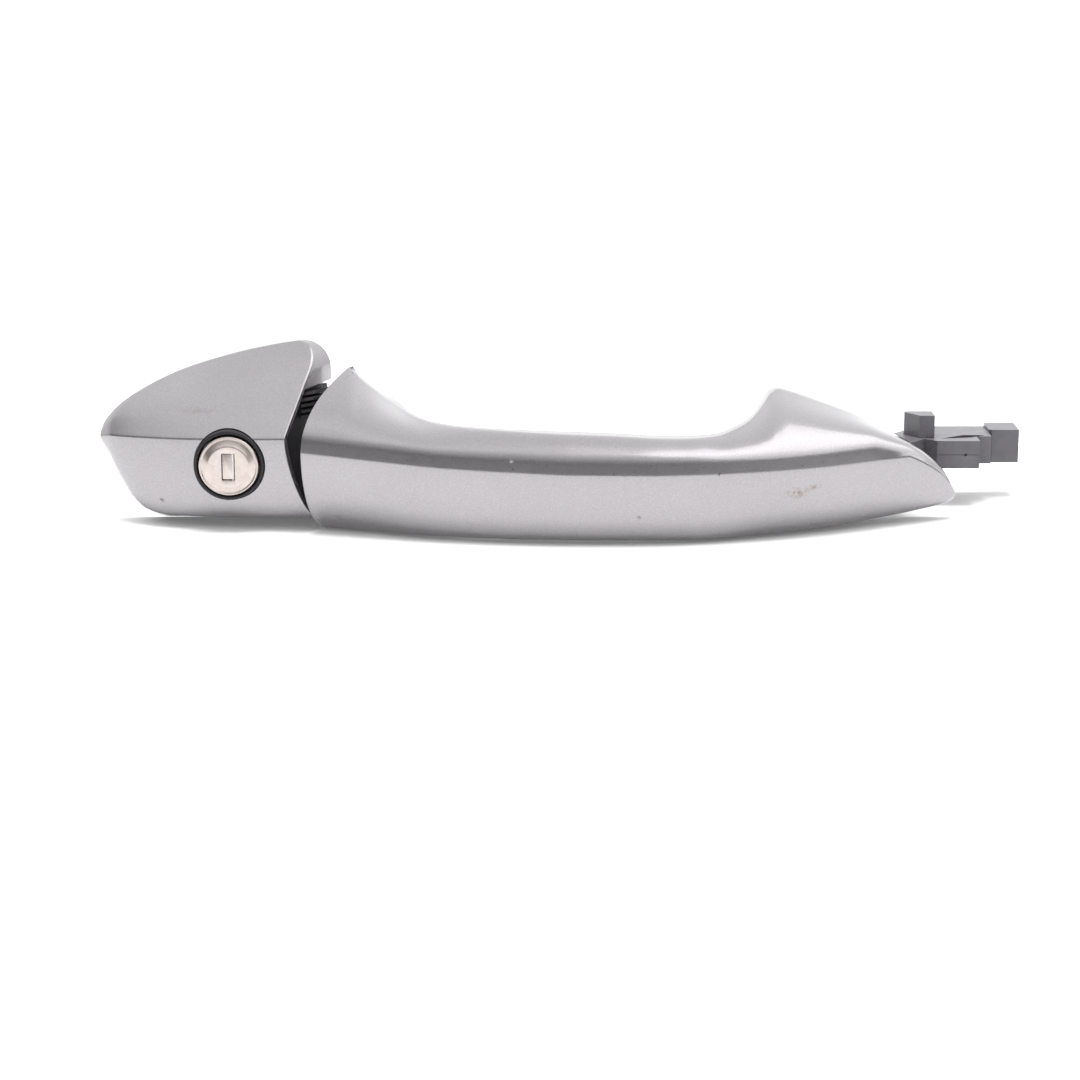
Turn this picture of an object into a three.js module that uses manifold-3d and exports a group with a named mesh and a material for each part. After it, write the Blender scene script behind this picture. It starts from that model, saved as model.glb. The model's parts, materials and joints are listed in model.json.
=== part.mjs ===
// Exterior car door handle: a painted pull grip that hinges at one end, and a painted
// cap with the key cylinder. Millimetres. +X runs from the cap to the hinge end, +Y goes
// into the door, +Z is up. The door skin is the plane y = 0, and the origin is the centre
// of the carrier's lower seat pad, straight below the lock axis.
import * as THREE from 'three';
import { mergeVertices } from 'three/addons/utils/BufferGeometryUtils.js';
import Module from 'manifold-3d';

const wasm = await Module();
wasm.setup();

// ---------------------------------------------------------------- driving sizes
const HANDLE_HEIGHT = 47.4;   // of the grip's outline at the cap; stretches every height below
const BOW_DEPTH = 40.5;       // grip off the door at its middle; stretches the grip's depths
const SEAT_RISE = 4;          // origin above the lowest edge of the handle
const WALL = 2.2;             // painted shells
const GAP = 0.3;              // between pieces that touch
const STRIP = 4.3;            // height of the flat strip above the crease line
const LIP_LEAN = 0.18;        // how far the grip's strip leans back, per mm of height
const CAP_LIP_LEAN = 0.66;
const GRIP_START = 24;        // degrees from upright where the upper face starts
const CAP_START = 35;
const CREASE_SHARE = 0.88;    // highest the crease may run, as a share of the section
const GRIP_FULL = 0.55;       // how upright the face stays below the crease, 0 to 1
const CAP_FULL = 0.76;

// grip: points [x, value]; heights are above the lowest edge, depths are y; the outline's
// first height and its greatest depth match the two overall sizes above
const GRIP_TOP = [[10, 47.4], [33.6, 46.4], [35.8, 45.3], [38.4, 42.6], [41.5, 40.1], [46, 37],
  [52, 34.8], [60, 33.5], [80, 32.9], [110, 31.9], [136, 30.7], [143, 30.7], [148, 31.8],
  [153, 33.4], [157, 36.2], [160, 39.1], [162.6, 39.9], [166, 39.1], [176, 35.6], [185, 32.2],
  [194, 27.9], [201, 24.2], [207, 20.3], [212, 15.9], [215, 11.6], [216.6, 8.6]];
const GRIP_BOTTOM = [[10, 0], [30, 0], [60, 0.8], [110, 1], [150, 0.6], [175, 0.8], [190, 2],
  [205, 3.6], [214, 5], [216.6, 6.4]];
const GRIP_FRONT = [[10, -21], [22, -25.2], [43, -31], [63, -36], [83, -39], [102, -40.5],
  [120, -40.4], [134, -39], [155, -34.2], [175, -27], [190, -19.5], [207, -10], [216.6, -3.4]];
const GRIP_CREASE = [[10, 25.2], [22, 24.9], [43, 23.8], [63, 22.8], [83, 22.2], [102, 21.7],
  [134, 21.4], [175, 21.2], [216.6, 21.8]];
const GRIP_TOP_DEPTH = [[10, -2.2], [33.6, -2.8], [43, -3.4], [47, -5.6], [50, -9.5],
  [54, -16], [60, -22.2], [68, -27], [80, -30.5], [102, -33], [120, -33], [136, -31],
  [143, -28], [148, -24.5], [153, -19], [157, -12], [160, -6.5], [162.6, -2.8], [180, -2.2],
  [216.6, -1.4]];
const GRIP_BOTTOM_DEPTH = [[10, -11], [28, -13.5], [60, -27], [85, -32.5], [110, -34],
  [135, -32.5], [160, -24], [184, -14], [200, -8], [216.6, -2]];
const GRIP_BACK = [[10, 0], [48, 0], [50, -3], [54, -11], [60, -17.5], [68, -22.3], [79, -25.2],
  [95, -26], [120, -26], [131, -25.2], [141, -22.3], [148, -17.5], [154, -11], [158.5, -3],
  [160.5, 0], [216.6, 0]];
const GRIP_LEAN = [[10, 48], [34, 50], [46, 66], [70, 84], [134, 84], [152, 66], [162, 52],
  [200, 48], [216.6, 45]];    // degrees from upright where the upper face ends
const PARTING = [[43.5, 3], [45.5, -4], [51, -14.5], [57, -20.5], [67, -25.6], [80, -28.6],
  [95, -29.6], [118, -29.6], [131, -28.6], [143, -25.6], [151.5, -20.5], [157.5, -13],
  [161.5, -4], [163.5, 3]];
const GRIP_X = [12, 22, 33.6, 36, 39, 42, 45.2, 48, 50, 52, 54, 57, 61, 68, 79, 90, 102, 114, 125,
  136, 143, 148, 151, 154, 157, 158.5, 160.5, 163.2, 168, 177, 188, 197, 204, 209, 213, 215.4,
  216.5];
const FOOT_OPEN = [46, 162];  // the feet are open at the back outside these
const GRIP_HOLLOW_END = 204;

// both end walls slope with depth: x = END_X + END_SLOPE * y, less the gap for the cap
const END_X = 35.7;
const END_SLOPE = 0.58;
const GAP_WIDE = 6.7;         // between cap and grip, upper part
const GAP_NARROW = 0.45;      // at the lower corner, where they all but touch
const GAP_LOW = 4;            // height where the gap starts to open
const GAP_HIGH = 28;          // height where it is fully open

// cap
const CAP_TOP = [[-40.5, 26.6], [-39, 30], [-34.2, 35.2], [-28, 39.4], [-16, 45.4], [-4, 49.4],
  [8, 52.4], [20, 54.4], [44, 56]];
const CAP_BOTTOM = [[-40.5, 24.8], [-37, 15.6], [-34, 9.4], [-30.5, 4.4], [-26, 1.2],
  [-20, 0], [44, 0]];
const CAP_FRONT = [[-40.5, -3.6], [-36, -8], [-28, -12.6], [-15, -17.4], [0, -20.2],
  [12, -21.3], [20, -21.7], [44, -22.2]];
const CAP_CREASE = [[-40.5, 25.7], [-36, 26.8], [-20, 27.6], [17, 28.5], [44, 28.8]];
const CAP_BOTTOM_DEPTH = [[-40.5, -2.4], [-34, -4.5], [-26, -8.5], [-15, -12], [0, -14],
  [44, -15]];
const CAP_TOP_DEPTH = -2.2;
const CAP_LEAN = 44;
const CAP_RISE = 3.2;         // how far the underside climbs towards the front
const CAP_X = [-40.4, -39.6, -38.2, -36, -33, -30, -26, -20, -12, -4, 4, 12, 20, 30, 40];
const CAP_CORNER = 8.5;       // radius of the upper corner of the end wall
const CAP_WALL_FOOT = 41.6;   // the painted end wall reaches down to this height

// lock cylinder, on an axis along Y
const LOCK_Z = 20.4;          // above the lowest edge
const FACE_Y = -23;
const FACE_PLATE = 1.2;
const FACE_SKIRT = 3.2;
const FACE_BEVEL = 0.9;
const SKIRT_WALL = 0.9;
const PLUG_R = 6.5;
const PLUG_HEAD_R = PLUG_R + 1.1;
const PLUG_REAR = 19;
const FACE_R = PLUG_HEAD_R + SKIRT_WALL + GAP;
const BOSS_R = 4.5;
const BOSS_END = 24;
const RUN = 0.15;             // running clearance, radial
const SLEEVE_WALL = 1.75;
const SLEEVE_GROOVE = PLUG_R + 0.7;   // half height of the wafer grooves
const RING_WALL = 1.3;
const RING_R = FACE_R + GAP + RING_WALL;
const RING_FRONT = -21.4;
const CAP_HOLE_R = RING_R + GAP;
const HOUSING_R = RING_R + 0.6;
const HOUSING_CLEAR = 0.4;    // housing behind the deepest of the cap's inner face
const HOUSING_REAR = 21;
const KEYWAY = [2.9, 8];      // width, height
const SLOT = [3.9, 8];        // window in the lock face
const SLOT_EDGE = 0.2;
const FLAP_THICK = 0.9;
const FLAP_PIN_R = 0.25;
const FLAP_PIN_INSET = 0.45;  // pin centre from the flap's hinge edge
const POCKET_END = -17.3;
const WAFER_COUNT = 6;
const WAFER_FIRST = -15.4;
const WAFER_PITCH = 3;
const WAFER_THICK = 1;
const WAFER_WIDTH = 5.2;
const WAFER_HEIGHT = 2 * PLUG_R - 1.1;
const WAFER_TRAVEL = 0.6;
const WAFER_WINDOW = [3.2, 8.6];
const TAIL_END = 46;

// core of the grip
const CORE_LOW = 9;
const CORE_HIGH = 23;
const CORE_INSET = 4.6;       // core front behind the painted face
const CORE_END = 195;
const FOOT_BACK = -3.3;       // core's back face inside the feet
const HOOK_LOW = 12.2;
const HOOK_HIGH = 20.8;
const HOOK_END = 35.5;        // how far the hook reaches behind the door
const ARM_X = [39.6, 44.8];
const ARM_LOW = 13;
const ARM_HIGH = 22;
const ARM_END = 34;
const SCREW_R = 1.5;
const SCREW_HEAD_R = 2.8;
const SCREW_HEAD = 1.8;
const GRIP_SCREWS = [[42, 27], [172, 16]];
const BUFFERS = [[42, 8.5], [180.5, 16]];
const BUFFER_R = 1.9;

// ---------------------------------------------------------------- materials
const paint = { color: 0xb3b1b4, metalness: 0.75, roughness: 0.28 };
const darkPlastic = { color: 0x4c4d50, metalness: 0, roughness: 0.55 };
const blackPlastic = { color: 0x17161a, metalness: 0, roughness: 0.5 };
const stainless = { color: 0xbdb2ab, metalness: 1, roughness: 0.3 };
const zinc = { color: 0x9a9c9d, metalness: 0.9, roughness: 0.45 };
const brass = { color: 0xb08d4a, metalness: 1, roughness: 0.35 };
const springSteel = { color: 0x8d9094, metalness: 1, roughness: 0.3 };
const rubber = { color: 0x1b1b1c, metalness: 0, roughness: 0.85 };

// ---------------------------------------------------------------- small tools
const up = (height) => height - SEAT_RISE;

// smooth curve through points that never overshoots them
function through(points) {
  const xs = points.map((p) => p[0]);
  const ys = points.map((p) => p[1]);
  const last = xs.length - 1;
  const slope = [];
  for (let i = 0; i < last; i += 1) slope.push((ys[i + 1] - ys[i]) / (xs[i + 1] - xs[i]));
  const tangent = [slope[0]];
  for (let i = 1; i < last; i += 1) {
    const product = slope[i - 1] * slope[i];
    tangent.push(product <= 0 ? 0 : (2 * product) / (slope[i - 1] + slope[i]));
  }
  tangent.push(slope[last - 1]);
  return (x) => {
    if (x <= xs[0]) return ys[0];
    if (x >= xs[last]) return ys[last];
    let i = 0;
    while (x > xs[i + 1]) i += 1;
    const h = xs[i + 1] - xs[i];
    const t = (x - xs[i]) / h;
    const a = ys[i] * (1 + 2 * t) * (1 - t) ** 2 + ys[i + 1] * t * t * (3 - 2 * t);
    return a + h * (tangent[i] * t * (1 - t) ** 2 + tangent[i + 1] * t * t * (t - 1));
  };
}

// points of a cubic curve, without its first point
function bezier(a, b, c, d, steps) {
  const curve = new THREE.CubicBezierCurve(...[a, b, c, d].map((p) => new THREE.Vector2(...p)));
  return curve.getPoints(steps).slice(1).map((p) => [p.x, p.y]);
}

// solid from vertices and triangles, turned inside out if its faces point inwards
function closedSolid(vertProperties, triVerts) {
  let volume = 0;
  const at = (i) => new THREE.Vector3().fromArray(vertProperties, 3 * triVerts[i]);
  for (let i = 0; i < triVerts.length; i += 3) {
    volume += at(i).dot(at(i + 1).cross(at(i + 2)));
  }
  if (volume < 0) {
    for (let i = 0; i < triVerts.length; i += 3) {
      [triVerts[i], triVerts[i + 1]] = [triVerts[i + 1], triVerts[i]];
    }
  }
  return new wasm.Manifold(new wasm.Mesh({ numProp: 3, vertProperties, triVerts }));
}

function solid(geometry) {
  const bare = geometry.index ? geometry.toNonIndexed() : geometry.clone();
  bare.deleteAttribute('normal');
  bare.deleteAttribute('uv');
  const merged = mergeVertices(bare, 1e-5);
  return closedSolid(
    new Float32Array(merged.attributes.position.array),
    new Uint32Array(merged.index.array),
  );
}

function join(first, ...others) {
  return others.reduce((sum, next) => sum.add(next), first);
}

function cut(first, ...others) {
  return others.reduce((rest, next) => rest.subtract(next), first);
}

function box(x0, x1, y0, y1, z0, z1) {
  const geometry = new THREE.BoxGeometry(x1 - x0, y1 - y0, z1 - z0);
  return solid(geometry.translate((x0 + x1) / 2, (y0 + y1) / 2, (z0 + z1) / 2));
}

// outline in X and Y, standing from z0 to z1
function prismZ(points, z0, z1) {
  const shape = new THREE.Shape(points.map((p) => new THREE.Vector2(...p)));
  const geometry = new THREE.ExtrudeGeometry(shape, { depth: z1 - z0, bevelEnabled: false });
  return solid(geometry.translate(0, 0, z0));
}

// outline in X and Z, reaching from y0 to y1
function prismY(points, y0, y1) {
  const shape = new THREE.Shape(points.map((p) => new THREE.Vector2(p[0], -p[1])));
  const geometry = new THREE.ExtrudeGeometry(shape, { depth: y1 - y0, bevelEnabled: false });
  return solid(geometry.rotateX(-Math.PI / 2).translate(0, y0, 0));
}

// round piece on an axis along Y, from [radius, y] points
function turned(profile, x, z, segments = 32) {
  const points = profile.map((p) => new THREE.Vector2(p[0], p[1]));
  const closed = profile[0][0] > 0 ? [...points, points[0]] : points;
  return solid(new THREE.LatheGeometry(closed, segments).translate(x, 0, z));
}

function rodY(radius, y0, y1, x, z, segments = 24) {
  return turned([[0, y0], [radius, y0], [radius, y1], [0, y1]], x, z, segments);
}

function tubeY(inner, outer, y0, y1, x, z, segments = 32) {
  return turned([[inner, y0], [outer, y0], [outer, y1], [inner, y1]], x, z, segments);
}

function rodZ(radius, z0, z1, x, y, segments = 16) {
  const geometry = new THREE.CylinderGeometry(radius, radius, z1 - z0, segments);
  return solid(geometry.rotateX(Math.PI / 2).translate(x, y, (z0 + z1) / 2));
}

// closed body through rings of [y, z] points, one ring at each x, with a fan over each end
function loft(stations) {
  const count = stations[0].ring.length;
  const last = stations.length - 1;
  const vertices = stations.flatMap(({ x, ring }) => ring.flatMap(([y, z]) => [x, y, z]));
  const at = (s, i) => s * count + (i % count);
  const triangles = [];
  for (let i = 0; i < count; i += 1) {
    for (let s = 0; s < last; s += 1) {
      triangles.push(at(s, i), at(s, i + 1), at(s + 1, i + 1));
      triangles.push(at(s, i), at(s + 1, i + 1), at(s + 1, i));
    }
    triangles.push(at(0, i + 1), at(0, i), at(last + 1, 0));
    triangles.push(at(last, i), at(last, i + 1), at(last + 1, 1));
  }
  for (const { x, ring } of [stations[0], stations[last]]) {
    const middle = [0, 1].map((k) => ring.reduce((sum, p) => sum + p[k], 0) / count);
    vertices.push(x, ...middle);
  }
  return closedSolid(new Float32Array(vertices), new Uint32Array(triangles));
}

// ring moved inwards by a distance; the ring runs anticlockwise in [y, z] or clockwise
function inset(ring, distance) {
  let area = 0;
  ring.forEach((p, i) => {
    const q = ring[(i + 1) % ring.length];
    area += p[0] * q[1] - q[0] * p[1];
  });
  const side = Math.sign(area);
  return ring.map((p, i) => {
    const before = ring[(i + ring.length - 1) % ring.length];
    const after = ring[(i + 1) % ring.length];
    const a = new THREE.Vector2(p[0] - before[0], p[1] - before[1]).normalize();
    const b = new THREE.Vector2(after[0] - p[0], after[1] - p[1]).normalize();
    const n = new THREE.Vector2(-(a.y + b.y), a.x + b.x).normalize();
    const stretch = Math.min(1.6, 1 / Math.max(0.4, n.x * -a.y + n.y * a.x));
    return [p[0] + side * n.x * distance * stretch, p[1] + side * n.y * distance * stretch];
  });
}

function shear(body, slope) {
  return body.warp((v) => {
    v[0] += slope * v[1];
  });
}

// ---------------------------------------------------------------- grip surfaces
const STRETCH = HANDLE_HEIGHT / GRIP_TOP[0][1];
const BOW = BOW_DEPTH / -Math.min(...GRIP_FRONT.map((p) => p[1]));

function stretched(points, factor) {
  return through(points.map(([x, value]) => [x, value * factor]));
}

const grip = {
  top: stretched(GRIP_TOP, STRETCH),
  bottom: stretched(GRIP_BOTTOM, STRETCH),
  crease: stretched(GRIP_CREASE, STRETCH),
  front: stretched(GRIP_FRONT, BOW),
  topDepth: stretched(GRIP_TOP_DEPTH, BOW),
  bottomDepth: stretched(GRIP_BOTTOM_DEPTH, BOW),
  back: stretched(GRIP_BACK, BOW),
  parting: stretched(PARTING, BOW),
  lean: through(GRIP_LEAN),
};

// face of a section from its lowest point, over the crease, to its upper edge; the fuller
// it is, the longer it stays upright below the crease; above the strip it only ever bulges
function face(low, crease, strip, high, startLean, lean, full) {
  const [yl, zl] = low;
  const [yc, zc] = crease;
  const span = Math.hypot(high[0] - strip[0], high[1] - strip[1]) / 3;
  const chord = Math.atan2(high[0] - strip[0], high[1] - strip[1]);
  const start = THREE.MathUtils.degToRad(startLean);
  const end = Math.max(THREE.MathUtils.degToRad(lean), chord + THREE.MathUtils.degToRad(12));
  return [
    low,
    ...bezier(low, [yl + full * (yc - yl), zl], [yc, zc - full * (zc - zl)], crease, 6),
    strip,
    ...bezier(
      strip,
      [strip[0] + span * Math.sin(start), strip[1] + span * Math.cos(start)],
      [high[0] - span * Math.sin(end), high[1] - span * Math.cos(end)],
      high,
      5,
    ),
  ];
}

// front of a section, without its back
function gripFace(x) {
  const top = up(grip.top(x));
  const bottom = up(grip.bottom(x));
  const front = grip.front(x);
  const crease = Math.min(up(grip.crease(x)), bottom + CREASE_SHARE * (top - bottom));
  const strip = Math.min(crease + STRIP, (crease + top) / 2);
  const low = [grip.bottomDepth(x), bottom];
  const high = [grip.topDepth(x), top];
  const lip = front + LIP_LEAN * STRIP;
  return face(low, [front, crease], [lip, strip], high, GRIP_START, grip.lean(x), GRIP_FULL);
}

function gripRing(x) {
  const front = gripFace(x);
  const low = front[0];
  const high = front[front.length - 1];
  const back = grip.back(x);
  const roll = 0.3 + 2.4 * Math.min(1, -back / 12);
  const lowRoll = Math.min(roll, 0.45 * (back - low[0]));
  const highRoll = Math.min(roll, 0.45 * (back - high[0]));
  return [
    [back, low[1] + lowRoll],
    ...bezier([back, low[1] + lowRoll], [back, low[1] + lowRoll / 2],
      [back - lowRoll / 2, low[1]], [back - lowRoll, low[1]], 2),
    ...front,
    [back - highRoll, high[1]],
    ...bezier([back - highRoll, high[1]], [back - highRoll / 2, high[1]],
      [back, high[1] - highRoll / 2], [back, high[1] - highRoll], 2),
  ];
}

// the room inside a section, a distance within it and open behind at the feet
function hollowRing(x, distance) {
  const front = gripFace(x);
  const open = x < FOOT_OPEN[0] || x > FOOT_OPEN[1];
  const back = open ? distance + 1 : grip.back(x);
  return inset([[back, front[0][1]], ...front, [back, front[front.length - 1][1]]], distance);
}

const HIGHEST = 80;
const BEHIND = 60;

function besideGripEnd(offset) {
  const start = END_X + offset;
  return prismZ([
    [start - END_SLOPE * BEHIND, -BEHIND], [CORE_END + BEHIND, -BEHIND],
    [CORE_END + BEHIND, BEHIND], [start + END_SLOPE * BEHIND, BEHIND],
  ], -HIGHEST, HIGHEST);
}

function gripOuter() {
  const body = loft(GRIP_X.map((x) => ({ x, ring: gripRing(x) })));
  return body.intersect(besideGripEnd(0));
}

// room inside the grip, a distance within its outer surface
function gripHollow(distance) {
  const inside = GRIP_X.filter((x) => x <= GRIP_HOLLOW_END);
  const stations = inside.map((x) => ({ x, ring: hollowRing(x, distance) }));
  return loft(stations).intersect(besideGripEnd(distance / Math.cos(Math.atan(END_SLOPE))));
}

function behindParting(offset) {
  const first = PARTING[0];
  const last = PARTING[PARTING.length - 1];
  const points = [];
  const steps = 30;
  for (let i = 0; i <= steps; i += 1) {
    const x = first[0] + ((last[0] - first[0]) * i) / steps;
    points.push([x, grip.parting(x) + offset]);
  }
  return prismZ([...points, [last[0], BEHIND], [first[0], BEHIND]], -HIGHEST, HIGHEST);
}

function screwBoss([x, height]) {
  const nearest = Math.min(grip.front(x - SCREW_HEAD_R), grip.front(x + SCREW_HEAD_R));
  const end = nearest + CORE_INSET - GAP;
  return rodY(SCREW_HEAD_R, grip.front(x) + WALL / 2, end, x, up(height), 20);
}

function screwHole([x, height], radius) {
  return rodY(radius, grip.front(x) + WALL, BEHIND, x, up(height), 20);
}

const outer = gripOuter();
const hollow = gripHollow(WALL);

function gripShell() {
  const skin = cut(outer, behindParting(0), hollow);
  const bosses = GRIP_SCREWS.map((place) => screwBoss(place).intersect(outer));
  return cut(join(skin, ...bosses), ...GRIP_SCREWS.map((p) => screwHole(p, SCREW_R + GAP / 2)));
}

function gripBack() {
  return cut(outer.intersect(behindParting(GAP)), hollow);
}

// ---------------------------------------------------------------- core, hook and pull arm
function coreBeam() {
  const ends = [26, CORE_END];
  const steps = 34;
  const front = [];
  const back = [];
  for (let i = 0; i <= steps; i += 1) {
    const x = ends[0] + ((ends[1] - ends[0]) * i) / steps;
    const open = x < FOOT_OPEN[0] - 0.5 || x > FOOT_OPEN[1] + 0.5;
    front.push([x, grip.front(x) + CORE_INSET]);
    back.unshift([x, open ? FOOT_BACK : Math.min(FOOT_BACK, grip.back(x) - WALL - 0.5)]);
  }
  return prismZ([...front, ...back], up(CORE_LOW), up(CORE_HIGH));
}

function coreRibs() {
  const pockets = [];
  const first = 62;
  const pitch = 12;
  const web = 2;
  for (let i = 0; i < 7; i += 1) {
    const x = first + i * pitch;
    const back = Math.max(grip.back(x), grip.back(x + pitch)) + 1;
    const floor = Math.max(grip.front(x), grip.front(x + pitch - web)) + CORE_INSET + web;
    pockets.push(box(x, x + pitch - web, floor, back, up(CORE_LOW) + web, up(CORE_HIGH) - web));
  }
  return pockets;
}

// plate that runs through the door to the pivot, its crossbar, and a lug on top
function hook() {
  const low = up(HOOK_LOW);
  const high = up(HOOK_HIGH);
  const middle = (low + high) / 2;
  const back = HOOK_END - 0.8;
  const plate = prismZ([
    [186, -5], [201, -5], [203, 8], [209.5, 15.2], [213, 12], [226, 12], [226, 19],
    [230.6, 19], [230.6, 26], [231.4, 26], [231.4, back], [210, back], [202, 25], [188, 8],
  ], low, high);
  const end = prismZ([
    [230.6, 25.2], [231.6, 24.4], [240, 24.4], [240, HOOK_END], [230.6, HOOK_END],
  ], low - 0.8, high + 0.9);
  const lug = prismZ([[204, 22], [208, 16.4], [212.6, 16.4], [212.6, 23.6], [204, 23.6]],
    high - 1, high + 7);
  const recess = prismZ([[214.5, 15.6], [224, 17.2], [229, 20.8], [222, 20.8]], high - 3, high + 1);
  const mouldLine = box(213, 227, 11, 12.15, middle - 0.12, middle + 0.12);
  const dimple = rodY(0.5, 11, 12.9, 221.7, middle, 12);
  return cut(join(plate, end, lug), recess, mouldLine, dimple);
}

function pullArm() {
  const [left, right] = ARM_X;
  const tooth = 7;
  return join(
    box(left, right, -9, ARM_END, up(ARM_LOW), up(ARM_HIGH)),
    box(left - tooth, left + 1, ARM_END - 6, ARM_END, up(ARM_LOW), up(ARM_HIGH)),
    box(left, right, -9, FOOT_BACK, up(5.5), up(31)),
  );
}

function gripCore() {
  const whole = join(cut(coreBeam(), ...coreRibs()), hook(), pullArm());
  const behindDoor = box(-HIGHEST, 4 * HIGHEST, GAP, BEHIND, -HIGHEST, HIGHEST);
  const free = join(gripHollow(WALL + GAP), behindDoor);
  const holes = GRIP_SCREWS.map((place) => screwHole(place, SCREW_R + GAP / 2));
  return cut(whole.intersect(free), ...holes);
}

function gripScrew([x, height]) {
  const tip = grip.front(x) + WALL + 1;
  const head = FOOT_BACK + GAP;
  const slot = box(x - 2, x + 2, head + SCREW_HEAD - 0.7, head + SCREW_HEAD + 1,
    up(height) - 0.4, up(height) + 0.4);
  return cut(join(
    rodY(SCREW_R, tip, head + 0.5, x, up(height), 16),
    turned([[0, head], [SCREW_HEAD_R, head], [SCREW_HEAD_R - 0.4, head + SCREW_HEAD],
      [0, head + SCREW_HEAD]], x, up(height), 20),
  ), slot);
}

function buffer([x, height]) {
  const seat = FOOT_BACK + GAP;
  return turned([[0, seat], [BUFFER_R, seat], [BUFFER_R, -0.6], [BUFFER_R - 0.6, 0], [0, 0]],
    x, up(height), 20);
}

// ---------------------------------------------------------------- cap surfaces
const cap = {
  top: stretched(CAP_TOP, STRETCH),
  bottom: stretched(CAP_BOTTOM, STRETCH),
  crease: stretched(CAP_CREASE, STRETCH),
  front: through(CAP_FRONT),
  bottomDepth: through(CAP_BOTTOM_DEPTH),
};

function capRing(x) {
  const top = up(cap.top(x));
  const bottom = up(cap.bottom(x));
  const front = cap.front(x);
  const crease = up(cap.crease(x));
  const strip = Math.min(crease + STRIP * 0.9, (crease + top) / 2);
  const rise = Math.min(CAP_RISE, 0.3 * (crease - bottom));
  const low = [cap.bottomDepth(x), bottom + rise];
  const high = [CAP_TOP_DEPTH, top];
  const lip = front + CAP_LIP_LEAN * (strip - crease);
  return [
    [0, bottom],
    ...face(low, [front, crease], [lip, strip], high, CAP_START, CAP_LEAN, CAP_FULL),
    [0, top],
  ];
}

// gap between the two end walls, at a height above the lowest edge
function gapAt(height) {
  if (height >= GAP_HIGH) return GAP_WIDE;
  const low = Math.max(height, GAP_LOW);
  const closed = ((GAP_HIGH - low) / (GAP_HIGH - GAP_LOW)) ** 1.5;
  return GAP_NARROW + (GAP_WIDE - GAP_NARROW) * (1 - closed);
}

// everything on the cap's side of its end wall, moved by an offset along X
function besideCapEnd(offset, low = -HIGHEST / 4, high = HIGHEST) {
  const edge = [];
  const crown = cap.top(END_X - GAP_WIDE - CAP_CORNER);
  for (let i = 0; i <= 12; i += 1) {
    const height = GAP_LOW + ((GAP_HIGH - GAP_LOW) * i) / 12;
    edge.push([END_X - gapAt(height) + offset, up(height)]);
  }
  const cx = END_X - GAP_WIDE - CAP_CORNER + offset;
  const cz = up(crown) - CAP_CORNER;
  for (let i = 0; i <= 6; i += 1) {
    const angle = (i * Math.PI) / 12;
    edge.push([cx + CAP_CORNER * Math.cos(angle), cz + CAP_CORNER * Math.sin(angle)]);
  }
  const outline = [[-HIGHEST, -HIGHEST / 2], [edge[0][0], -HIGHEST / 2], ...edge,
    [cx, up(crown) + HIGHEST / 2], [-HIGHEST, up(crown) + HIGHEST / 2]];
  const block = shear(prismY(outline, -BEHIND, BEHIND), END_SLOPE);
  return block.intersect(box(-HIGHEST, HIGHEST, -BEHIND, BEHIND, low, high));
}

const capFull = loft(CAP_X.map((x) => ({ x, ring: capRing(x) })));
const END_WALL = WALL / Math.cos(Math.atan(END_SLOPE));

function capInside(distance) {
  const stations = CAP_X.slice(3).map((x) => {
    const ring = inset(capRing(x), distance);
    return { x, ring: ring.map((p, i) => (i === 0 || i === ring.length - 1 ? [1, p[1]] : p)) };
  });
  return loft(stations);
}

function capShell() {
  const body = capFull.intersect(besideCapEnd(0));
  const room = capInside(WALL);
  const upper = room.intersect(besideCapEnd(-END_WALL));
  const lower = room.intersect(box(-HIGHEST, HIGHEST, -BEHIND, BEHIND, -HIGHEST, up(CAP_WALL_FOOT)));
  return cut(body, upper, lower, rodY(CAP_HOLE_R, -BEHIND, 0, 0, up(LOCK_Z), 36));
}

function capCarrier() {
  const room = capInside(WALL + GAP);
  const plate = room.intersect(besideCapEnd(-END_WALL - GAP))
    .intersect(box(-34, HIGHEST, -3.6, -0.6, -HIGHEST, HIGHEST));
  const wallTop = up(CAP_WALL_FOOT - GAP);
  const wall = cut(
    room.intersect(besideCapEnd(-0.9, -HIGHEST, wallTop)),
    besideCapEnd(-3.4, -HIGHEST, HIGHEST),
  ).intersect(box(-HIGHEST, HIGHEST, -BEHIND, -0.6, -HIGHEST, wallTop));
  const crown = cap.top(0);
  const pads = [[2.6, 5.4], [crown - 10.7, crown - 4.7]].map(([low, high]) => (
    box(-6, 6, -1, 0, up(low), up(high)).intersect(room)));
  const collar = tubeY(HOUSING_R + GAP, HOUSING_R + GAP + 2, -9, -1, 0, up(LOCK_Z));
  const posts = [[-12, 38], [14, 42]].map(([x, height]) => (
    box(x - 1, x + 1, -9, -3, up(height) - 5, up(height) + 2)));
  const bore = rodY(HOUSING_R + GAP, -BEHIND, 2, 0, up(LOCK_Z), 32);
  const block = ribBlock().intersect(room).intersect(
    box(-HIGHEST, HIGHEST, -BEHIND, 0, -HIGHEST, wallTop));
  const posted = posts.map((p) => p.intersect(room));
  return cut(join(plate, wall, ...pads, collar, ...posted, block), bore);
}

// ribs on the carrier's wall, rising a little towards the grip
function ribBlock() {
  const count = 5;
  const pitch = 1.7;
  const [front, back] = [-12.5, -4];
  const start = END_X - GAP_WIDE - 2.6;
  const ribs = [];
  for (let i = 0; i < count; i += 1) {
    const rib = [[0, 0], [5.2, 0.9], [5.2, 1.8], [0, 0.9]];
    const height = up(32.4 + i * pitch);
    ribs.push(prismY(rib.map((p) => [start + p[0], height + p[1]]), front, back));
  }
  return shear(join(...ribs), END_SLOPE);
}

// ---------------------------------------------------------------- lock cylinder
const LZ = up(LOCK_Z);

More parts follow.
